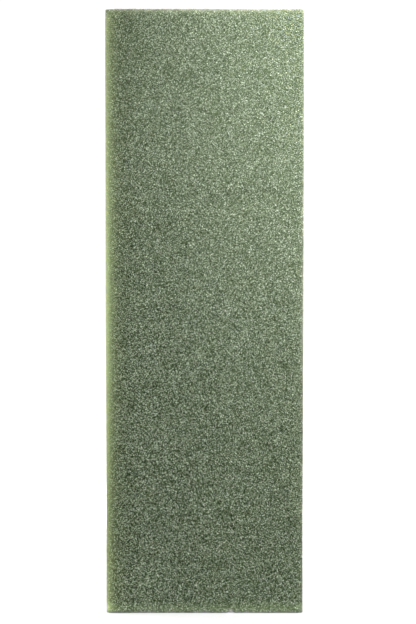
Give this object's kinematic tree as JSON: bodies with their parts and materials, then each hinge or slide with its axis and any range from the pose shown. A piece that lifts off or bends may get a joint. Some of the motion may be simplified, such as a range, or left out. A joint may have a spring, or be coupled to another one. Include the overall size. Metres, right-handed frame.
{
  "type": "floral foam brick",
  "caption": "Rectangular block of rigid green floral foam with crumbly sawn faces, which holds cut or artificial stems pushed into it.",
  "frame": {"origin": "middle of the small end face that the brick stands on", "axes": "+Z along the brick's length, -Y out of the narrow face shown at the front, +X to the right seen from the front"},
  "size_m": [0.074, 0.099, 0.226],
  "materials": {
    "floral_foam": "sawn open-celled foam, sage green, dull and grainy, with faint glints on cut cell walls"
  },
  "bodies": {
    "root": {"foam_brick": "floral_foam"}
  },
  "joints": []
}
